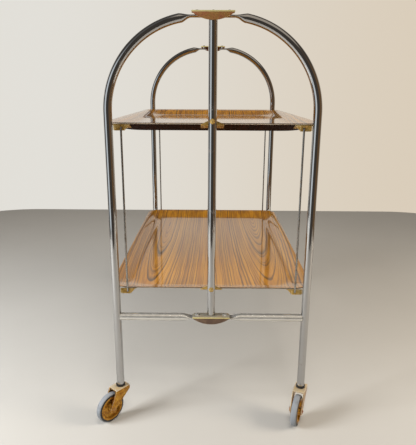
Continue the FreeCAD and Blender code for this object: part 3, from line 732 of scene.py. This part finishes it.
def pick(piece, kind, test):
    """Select only the corners or edges that pass a test on every corner."""
    bpy.ops.mesh.select_mode(type=kind)
    bpy.ops.mesh.select_all(action="DESELECT")
    mesh = bmesh.from_edit_mesh(piece.data)
    for item in mesh.verts if kind == "VERT" else mesh.edges:
        corners = [item] if kind == "VERT" else item.verts
        item.select_set(all(test(corner.co) for corner in corners))
    bmesh.update_edit_mesh(piece.data)


print("shaping strokes ready, for tubes of", TUBE_SIDES, "sides")

# %% [markdown]
# What repeats is modelled once and copied, each copy with a mesh of its own, and the pattern is then
# thrown away. A mirrored copy is inside out, so closing a piece merges its doubles and turns its faces
# outward. Last, a piece is dressed: it rides on the body of the CAD piece that it replaces, that piece is
# hidden, and a piece given no finishes takes the finish of that piece's slot.

# %% Strokes that finish a piece
MERGE = 0.01 * MM
SHARP = math.radians(38)


def close_piece(piece):
    """Merge doubles, turn every face outward and leave edit mode with soft shading."""
    bpy.ops.mesh.select_all(action="SELECT")
    bpy.ops.mesh.remove_doubles(threshold=MERGE)
    bpy.ops.mesh.normals_make_consistent(inside=False)
    bpy.ops.object.mode_set(mode="OBJECT")
    bpy.ops.object.shade_smooth_by_angle(angle=SHARP)
    return piece


def duplicate(source):
    """A copy with its own mesh, as the active piece."""
    begin()
    source.select_set(True)
    bpy.context.view_layer.objects.active = source
    bpy.ops.object.duplicate()
    return bpy.context.object


def copy_of(source, name, matrix):
    """A copy of a pattern, moved, turned or mirrored by a matrix."""
    piece = duplicate(source)
    piece.matrix_world = matrix
    open_piece(name)
    return close_piece(piece)


def discard(piece):
    """Take away a pattern once its copies are made."""
    begin()
    piece.select_set(True)
    bpy.ops.object.delete()


def dress(piece, node, *materials):
    """Hand a finished piece its CAD piece's body, hide that piece, and give it its finishes, or its slot's
    finish.
    """
    for index, material in enumerate(materials or (finishes[slot_of[node]],)):
        if index == len(piece.data.materials):
            piece.data.materials.append(material)
        piece.data.materials[index] = material
    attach(piece, body_of[node])
    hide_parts(node)


print("finishing strokes ready, for corners", list(CORNERS))

# %% [markdown]
# The two end frames are alike, so a few numbers place all of their tubes: the plane of an end frame, the
# tubes' radius, and how far out and how high a leg stands. They could be typed in again, but measured
# from the CAD pieces they always agree with them.

# %% Measured places
frame_rear = (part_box("rear_post")[0].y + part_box("rear_post")[1].y) / 2
leg_low, leg_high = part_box("front_right_leg")
tube_radius = (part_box("front_post")[1].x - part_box("front_post")[0].x) / 2
leg_across = leg_high.x - tube_radius
print("tube radius", round(tube_radius, 4), "frame plane", round(frame_rear, 4))
print("leg", round(leg_across, 4), "out and", round(leg_high.z, 4), "high")

# %% [markdown]
# On the real frame the tube's end is squeezed flat for the hinge rivet. The half arches and the half
# crossbars share this end: over a short taper the round section spreads to an oval, runs on as a tongue
# to the rivet and ends in a half-round nose. It grows ring by ring, each section a scaled copy of the
# last.

# %% Flattened tube end
HINGE = 28 * MM
TONGUE_WIDTH = 19 * MM
TONGUE_THICKNESS = 5 * MM
TONGUE_REACH = 11 * MM
TAPER = 20 * MM
TAPER_STEPS = 10
NOSE_STEPS = 7
QUARTER_TURN = math.pi / 2

tongue_start = HINGE + TONGUE_REACH
taper_start = tongue_start + TAPER


def ease(share):
    """A soft start and stop between 0 and 1."""
    return share * share * (3 - 2 * share)


def flatten_end(start, rise):
    """Press the selected tube end, whose middle is at start, to a tongue that lies higher by a rise."""
    here = Vector(start)
    wide = thick = tube_radius
    for step in range(1, TAPER_STEPS + 1):
        share = ease(step / TAPER_STEPS)
        there = Vector((start[0] - TAPER * step / TAPER_STEPS, start[1], start[2] + rise * share))
        pull(there - here)
        next_wide = tube_radius + (TONGUE_WIDTH / 2 - tube_radius) * share
        next_thick = tube_radius + (TONGUE_THICKNESS / 2 - tube_radius) * share
        # A section that still leans from the bend comes upright by equal steps.
        upright = (TAPER_STEPS - step) / (TAPER_STEPS - step + 1)
        stretch((upright, next_wide / wide, next_thick / thick), there)
        here, wide, thick = there, next_wide, next_thick
    pull((HINGE - here.x, 0, 0))
    here.x = HINGE
    for step in range(1, NOSE_STEPS):
        angle = QUARTER_TURN * step / NOSE_STEPS
        before = QUARTER_TURN * (step - 1) / NOSE_STEPS
        pull(((math.sin(before) - math.sin(angle)) * TONGUE_WIDTH / 2, 0, 0))
        stretch((1, math.cos(angle) / math.cos(before), 1), here)


print("tongue from", round(tongue_start, 4), "taper from", round(taper_start, 4))

# %% [markdown]
# A half arch is one tube: a straight leg up from the caster, a bend, and the flattened end under the
# hinge bracket. A pipe bender draws a true arc, so the bend is a spin about the arch's centre, with many
# steps because the bright metal shows every facet. One is modelled at the front right, and all four are
# mirrored copies of it.

# %% Half arches
ARCH_RADIUS = 165 * MM
ARCH_STEPS = 48

crown = leg_high.z - tube_radius
arch_centre = Vector((leg_across - ARCH_RADIUS, -frame_rear, crown - ARCH_RADIUS))
arch_angle = math.acos((taper_start - arch_centre.x) / ARCH_RADIUS)

arch = ring("arch_pattern", tube_radius, (leg_across, -frame_rear, leg_low.z))
pull((0, 0, arch_centre.z - leg_low.z))
bpy.ops.mesh.spin(steps=ARCH_STEPS, angle=arch_angle, center=arch_centre, axis=(0, 1, 0))
bend_end = Vector((taper_start, -frame_rear, arch_centre.z + ARCH_RADIUS * math.sin(arch_angle)))
flatten_end(bend_end, crown - bend_end.z)
close_piece(arch)
for corner, mirror in CORNERS.items():
    dress(copy_of(arch, corner + "_half_arch", mirror), corner + "_leg")
print("half arches of", len(arch.data.polygons), "faces, bent through", round(math.degrees(arch_angle), 1))
discard(arch)

# %% [markdown]
# The half crossbars are straight pieces of the same tube. They start inside the leg's wall, where they
# are brazed, and end in the same tongue, so only their straight run is new.

# %% Half crossbars
WALL_BITE = 6 * MM

bar_low, bar_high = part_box("front_right_crossbar")
bar_height = (bar_low.z + bar_high.z) / 2
bar_start = leg_across - WALL_BITE
bar = ring("bar_pattern", tube_radius, (bar_start, -frame_rear, bar_height), (0, QUARTER_TURN, 0))
pull((taper_start - bar_start, 0, 0))
flatten_end((taper_start, -frame_rear, bar_height), 0)
close_piece(bar)
for corner, mirror in CORNERS.items():
    dress(copy_of(bar, corner + "_half_bar", mirror), corner + "_crossbar", satin_plate)
print("half crossbars at", round(bar_height, 4))
discard(bar)

# %% [markdown]
# The centre posts carry both trays. They are straight tubes whose cut ends are broken by a small chamfer.
# A bevel could break them, but with a ring already in hand it is quicker to widen and narrow it on the
# way up.

# %% Centre posts
CHAMFER = 0.8 * MM

post_low, post_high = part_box("front_post")
post_length = post_high.z - post_low.z
widen = tube_radius / (tube_radius - CHAMFER)
post = ring("post_pattern", tube_radius - CHAMFER, (0, -frame_rear, post_low.z))
for rise, grow in ((CHAMFER, widen), (post_length - 2 * CHAMFER, 1), (CHAMFER, 1 / widen)):
    pull((0, 0, rise))
    stretch((grow, grow, 1), (0, -frame_rear, 0))
close_piece(post)
for end, along in ENDS.items():
    dress(copy_of(post, end + "_centre_post", Matrix.Diagonal((1, -along, 1, 1))), end + "_post")
print("posts", round(post_length, 4), "long")
discard(post)

# %% [markdown]
# A tie rod keeps the two trays parallel. It is a wire with an upset head at each end, and it is drawn as
# the wire runs: from the upper head back out through the corner plate, round a tight elbow, down, round
# the lower elbow and in again. A pull of no length doubles the ring, so that a head can end in a square
# step.

# %% Tie rods
WIRE_RADIUS = 2 * MM
WIRE_BEND = 3 * MM
WIRE_SIDES = 20
HEAD_RADIUS = 3.2 * MM
HEAD_LENGTH = 1.5 * MM
ELBOW_STEPS = 8
IN_PLACE = (0, 0, 0)

rod_low, rod_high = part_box("front_right_rod")
rod_x = (rod_low.x + rod_high.x) / 2
hook_top = rod_high.z - HEAD_RADIUS
hook_bottom = rod_low.z + HEAD_RADIUS
elbow_y = rod_low.y + WIRE_RADIUS + WIRE_BEND
neck = rod_high.y - HEAD_LENGTH - elbow_y
narrow = WIRE_RADIUS / HEAD_RADIUS
rod = ring("rod_pattern", HEAD_RADIUS, (rod_x, rod_high.y, hook_top), (QUARTER_TURN, 0, 0),
           sides=WIRE_SIDES)
pull((0, -HEAD_LENGTH, 0))
pull(IN_PLACE)
stretch((narrow, 1, narrow), (rod_x, 0, hook_top))
pull((0, -neck, 0))
for height, sense, run in ((hook_top, -1, (0, 0, hook_bottom - hook_top + 2 * WIRE_BEND)),
                           (hook_bottom, 1, (0, neck, 0))):
    pivot = (rod_x, elbow_y, height + sense * WIRE_BEND)
    bpy.ops.mesh.spin(steps=ELBOW_STEPS, angle=QUARTER_TURN, center=pivot, axis=(-1, 0, 0))
    pull(run)
pull(IN_PLACE)
stretch((1 / narrow, 1, 1 / narrow), (rod_x, 0, hook_bottom))
pull((0, HEAD_LENGTH, 0))
close_piece(rod)
for corner, mirror in CORNERS.items():
    dress(copy_of(rod, corner + "_tie_wire", mirror), corner + "_rod")
print("tie rods from", round(hook_top, 4), "to", round(hook_bottom, 4))
discard(rod)

# %% [markdown]
# A tray is pressed from one sheet: a sloped wall, steeper at the sides than at the ends, runs through a
# soft bend into a flat floor. Its section is a straight line and an arc that touch, so how far in the
# wall lies at a height is a short sum. The rings that follow it lie closer together where the sheet
# bends.

# %% Tray section
TRAY_DROP = 15.4 * MM
SIDE_RUN = 32 * MM
END_RUN = 46 * MM
FLOOR_BEND = 40 * MM
RING_HEIGHTS = (1, 0.7, 0.45, 0.30, 0.22, 0.15, 0.10, 0.06, 0.03, 0.01, 0)

tray_low, tray_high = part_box("upper_tray")
half_width = tray_high.x
half_length = tray_high.y
tray_sheet = tray_high.z - tray_low.z - TRAY_DROP
wall_heights = [share * TRAY_DROP for share in RING_HEIGHTS]


def run_at(height, run):
    """How far in from the rim the inner face lies at a height over the floor."""
    slope = math.atan(TRAY_DROP / run)
    tangent = FLOOR_BEND * math.tan(slope / 2)
    if height > tangent * math.sin(slope):
        return run * (1 - height / TRAY_DROP)
    return run + tangent - math.sqrt(FLOOR_BEND ** 2 - (FLOOR_BEND - height) ** 2)


print("tray sheet", round(tray_sheet, 4), "thick, with", len(wall_heights), "rings down its wall")

# %% [markdown]
# Only a quarter of the tray is shaped. Its rim starts as a plane with one corner beveled, of which only
# the outer line is kept. The line is pulled down and inward along the section, and gathered to the middle
# as the floor. What then lies past the middle is cut away, ready for the mirror.

# %% Quarter of a tray
TRAY_CORNER = 40 * MM
TRAY_CORNER_STEPS = 18
FLOOR_RINGS = (0.6, 0)
HAIR = 0.001 * MM


def rim_quarter(name, rim):
    """A line along a quarter of the rim, open in edit mode with all of it selected."""
    begin()
    bpy.ops.mesh.primitive_plane_add(size=1, location=(half_width / 2, half_length / 2, rim))
    bpy.context.object.scale = (half_width, half_length, 1)
    piece = open_piece(name)
    pick(piece, "VERT", lambda at: at.x > half_width / 2 and at.y > half_length / 2)
    bpy.ops.mesh.bevel(affect="VERTICES", offset=TRAY_CORNER, segments=TRAY_CORNER_STEPS)
    bpy.ops.mesh.select_all(action="SELECT")
    bpy.ops.mesh.delete(type="ONLY_FACE")
    for inner in (lambda at: at.x < HAIR, lambda at: at.y < HAIR):
        pick(piece, "EDGE", inner)
        bpy.ops.mesh.delete(type="EDGE")
    bpy.ops.mesh.select_all(action="SELECT")
    return piece


def sink_quarter():
    """Pull the selected rim line down the wall and in to the middle of the floor."""
    for above, below in zip(wall_heights, wall_heights[1:]):
        inward = [run_at(above, run) - run_at(below, run) for run in (SIDE_RUN, END_RUN)]
        pull((*inward, below - above))
    for share in FLOOR_RINGS:
        pull(IN_PLACE)
        stretch((share, share, 1), (0, 0, 0))
    for normal in ((1, 0, 0), (0, 1, 0)):
        bpy.ops.mesh.select_all(action="SELECT")
        bpy.ops.mesh.bisect(plane_co=(0, 0, 0), plane_no=normal, clear_inner=True)


print("quarter of a rim", round(half_width, 4), "by", round(half_length, 4))

# %% [markdown]
# Mirrored twice, the quarter is a whole sheet. Its thickness comes from pulling it downward, in two
# layers so that the cut edge shows a dark core and a paler backing line. Solidify would do it too, but it
# would lean the edge over with the wall, and this edge is cut straight down. Its two lips are rounded a
# little.

# %% Whole trays
LEVELS = ("upper", "lower")
FACE_LAYER = 1.5 * MM
EDGE_ROUND = 0.35 * MM
EDGE_SEGMENTS = 2
LYING_FLAT = 0.8
TOP, UNDER, CORE, BACKING = range(4)


def unfold(piece):
    """Mirror a quarter twice into a whole sheet, with all of it selected and facing one way."""
    bpy.ops.object.mode_set(mode="OBJECT")
    bpy.ops.object.modifier_add(type="MIRROR")
    piece.modifiers[-1].use_axis = (True, True, False)
    bpy.ops.object.modifier_apply(modifier=piece.modifiers[-1].name)
    bpy.ops.object.mode_set(mode="EDIT")
    bpy.ops.mesh.select_all(action="SELECT")
    bpy.ops.mesh.remove_doubles(threshold=MERGE)
    bpy.ops.mesh.normals_make_consistent(inside=False)


def thicken(piece, rim):
    """Give the sheet its two layers and round the lips of its rim."""
    pull((0, 0, -FACE_LAYER))
    pull((0, 0, FACE_LAYER - tray_sheet))
    pick(piece, "EDGE", lambda at: abs(at.z - rim) < HAIR or abs(at.z - rim + tray_sheet) < HAIR)
    bpy.ops.mesh.bevel(offset=EDGE_ROUND, segments=EDGE_SEGMENTS)
    close_piece(piece)


def layer_of(face, rim):
    """The layer that a face belongs to."""
    if abs(face.normal.z) > LYING_FLAT:
        return TOP if face.normal.z > 0 else UNDER
    return CORE if face.center.z > rim - FACE_LAYER else BACKING


for level in LEVELS:
    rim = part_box(level + "_tray")[1].z
    tray = rim_quarter(level + "_pressed_tray", rim)
    sink_quarter()
    unfold(tray)
    thicken(tray, rim)
    for face in tray.data.polygons:
        face.material_index = layer_of(face, rim)
    dress(tray, level + "_tray", tray_top, tray_under_shade, edge_core, edge_backing)
    print(tray.name, len(tray.data.polygons), "faces")

# %% [markdown]
# Sheet brackets and caster forks have the right shape in CAD. What they lack is the small round that a
# press leaves on every edge, where the plate wears through first. So each is copied, its loose triangles
# are merged into whole faces, and a Bevel modifier breaks every sharp edge and gives the new faces a worn
# finish. Where the sheet is folded over at the top, a bisect marks the fold's lip, which is worn as well,
# and the flange on top has a finish of its own, which on the caster forks is a painted highlight from
# above.

# %% Broken edges
SAME_PLANE = math.radians(0.5)
FLANGE_UP = 0.9
EDGE_FINISH = 1
FLANGE_FINISH = 2


def merged_copy(node, name):
    """A copy of a CAD piece in edit mode, merged into whole flat faces."""
    duplicate(frame["nodes"][node])
    bpy.ops.object.parent_clear(type="CLEAR_KEEP_TRANSFORM")
    bpy.ops.mesh.customdata_custom_splitnormals_clear()
    piece = open_piece(name)
    bpy.ops.mesh.remove_doubles(threshold=MERGE)
    bpy.ops.mesh.dissolve_limited(angle_limit=SAME_PLANE)
    return piece


def eased(node, name, width, lip):
    """A copy of a CAD piece with every sharp edge broken, and a lip of some height, or none, at its top."""
    piece = merged_copy(node, name)
    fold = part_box(node)[1].z - lip
    if lip:
        bpy.ops.mesh.select_all(action="SELECT")
        bpy.ops.mesh.bisect(plane_co=(0, 0, fold), plane_no=(0, 0, 1))
    bpy.ops.object.mode_set(mode="OBJECT")
    bpy.ops.object.modifier_add(type="BEVEL")
    bevel = piece.modifiers[-1]
    bevel.width = width
    bevel.segments = EDGE_SEGMENTS
    bevel.limit_method = "ANGLE"
    bevel.angle_limit = SHARP
    bevel.material = EDGE_FINISH
    piece.data.materials.append(None)
    bpy.ops.object.modifier_apply(modifier=bevel.name)
    bpy.ops.object.shade_smooth_by_angle(angle=SHARP)
    for face in piece.data.polygons:
        # Upward faces above the fold take the flange finish; on the forks that is a painted highlight.
        if lip and face.center.z > fold:
            face.material_index = FLANGE_FINISH if face.normal.z > FLANGE_UP else EDGE_FINISH
    return piece


print("edges sharper than", round(math.degrees(SHARP)), "degrees are broken")

# %% [markdown]
# Three kinds of pressed piece go through that helper: the hinge brackets, the trays' zinc brackets and
# the heavier caster forks. A table says for each piece how wide its edges are broken, how high its lip
# is, and its finishes: faces, edges and, with a lip, the flange.

# %% Pressed sheet pieces
BRACKET_EDGE = 0.3 * MM
FORK_EDGE = 0.8 * MM
HINGE_LIP = 2.4 * MM
FORK_LIP = 1.2 * MM
NO_LIP = 0
# The lower brackets take the darker copy of the plate, which is painted shade.
HINGE_FACES = {"top": hinge_face, "bottom": hinge_painted_shade}

sheet_pieces = {}
for end in ENDS:
    for height, look in HINGE_FACES.items():
        sheet_pieces[f"{end}_{height}_bracket"] = (BRACKET_EDGE, HINGE_LIP, look, plate_edge, hinge_flange)
for level in LEVELS:
    for spot in [*CORNERS, *(end + "_pivot" for end in ENDS)]:
        sheet_pieces[f"{level}_{spot}_bracket"] = (BRACKET_EDGE, NO_LIP, yellow_zinc, zinc_edge)
for corner in CORNERS:
    sheet_pieces[corner + "_caster_fork"] = (FORK_EDGE, FORK_LIP, amber, amber_edge, fork_crown_highlight)
for node, (width, lip, *looks) in sheet_pieces.items():
    dress(eased(node, node + "_pressed", width, lip), node, *looks)
print("pressed sheet pieces:", len(sheet_pieces))

# %% [markdown]
# Wheels are turned work. A profile could be spun about the axle, but a ring that is pulled along it, and
# narrowed or widened at each stroke, reads like the cut of a lathe tool. Both faces of a wheel are alike,
# so a profile is written for one face, in millimetres, and carried round to the other.

# %% Lathe strokes
TURNED_SIDES = 72


def turned(name, profile):
    """A closed round piece about the X axis, from pairs of radius and place along the axle."""
    first_radius, first_along = profile[0]
    piece = ring(name, first_radius * MM, (first_along * MM, 0, 0), (0, QUARTER_TURN, 0),
                 fill="NOTHING", sides=TURNED_SIDES)
    for (radius, along), (next_radius, next_along) in zip(profile, profile[1:] + profile[:1]):
        pull(((next_along - along) * MM, 0, 0))
        grow = next_radius / radius
        stretch((1, grow, grow), (0, 0, 0))
    return close_piece(piece)


def both_sides(half):
    """A profile from one face of a wheel, carried round to the other face."""
    return half + [(radius, -along) for radius, along in reversed(half)]


print("lathe ready, with", TURNED_SIDES, "sides")

# %% [markdown]
# The tyre is a solid ring of rubber with a moulded groove in each wall and round shoulders. The shoulders
# are quarter arcs, so a short formula draws them. From about their middle outward the faces are the
# greyer tread.

# %% Tyre
TYRE_BORE = 22.1
TYRE_RADIUS = 32
TYRE_HALF_WIDTH = 6.5
GROOVE_FLOOR = 6.1
SHOULDER = 4
SHOULDER_STEPS = 6
TREAD_RADIUS = 30.2 * MM

bore_edge = [(TYRE_BORE, 6.2), (22.6, TYRE_HALF_WIDTH)]
wall_groove = [(25.6, TYRE_HALF_WIDTH), (25.9, GROOVE_FLOOR), (26.5, GROOVE_FLOOR), (26.8, TYRE_HALF_WIDTH)]
shoulder_angles = [QUARTER_TURN * step / SHOULDER_STEPS for step in range(SHOULDER_STEPS + 1)]
shoulder_arc = [(TYRE_RADIUS - SHOULDER + SHOULDER * math.sin(angle),
                 TYRE_HALF_WIDTH - SHOULDER + SHOULDER * math.cos(angle)) for angle in shoulder_angles]
tyre_pattern = turned("tyre_pattern", both_sides(bore_edge + wall_groove + shoulder_arc))
for face in tyre_pattern.data.polygons:
    face.material_index = int(math.hypot(face.center.y, face.center.z) > TREAD_RADIUS)
print("tyre of", len(tyre_pattern.data.polygons), "faces")

# %% [markdown]
# The hub has a boss round the axle, a thin web with a ring groove, and a rim that is rolled over the
# tyre's wall to hold it. The last two points run back along the wall to the seat under the tyre.

# %% Hub
boss = [(3.1, 9.3), (3.4, 9.5), (7.0, 9.5), (7.5, 9.0), (8.4, 3.4)]
web = [(9.4, 2.3), (12.2, 2.0), (12.7, 1.5), (13.5, 1.5), (14.0, 2.0), (20.0, 2.3)]
rolled_rim = [(21.2, 3.4), (22.0, 5.6), (22.8, 6.8), (23.8, 7.2), (25.4, 7.0), (26.2, 6.7)]
rim_back = [(21.95, 6.6), (21.95, 5.0)]
hub_pattern = turned("hub_pattern", both_sides(boss + web + rolled_rim + rim_back))
print("hub of", len(hub_pattern.data.polygons), "faces")

# %% [markdown]
# One tyre and one hub were turned about the origin. Now they are set out at the four corners, each swung
# as its CAD wheel is: the way from the stem to the wheel's centre tells which way the caster trails.

# %% Wheels at the corners
for corner in CORNERS:
    tyre_low, tyre_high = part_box(corner + "_caster_tyre")
    stem_low, stem_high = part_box(corner + "_caster_stem")
    centre = (tyre_low + tyre_high) / 2
    stem = (stem_low + stem_high) / 2
    swing = math.atan2(centre.x - stem.x, stem.y - centre.y)
    seat = Matrix.Translation(centre) @ Matrix.Rotation(swing, 4, "Z")
    tyre = copy_of(tyre_pattern, corner + "_turned_tyre", seat)
    dress(tyre, corner + "_caster_tyre", tyre_wall, tyre_tread)
    hub = copy_of(hub_pattern, corner + "_turned_hub", seat)
    dress(hub, corner + "_caster_hub")
    print(corner, "caster swung", round(math.degrees(swing), 1))
discard(tyre_pattern)
discard(hub_pattern)
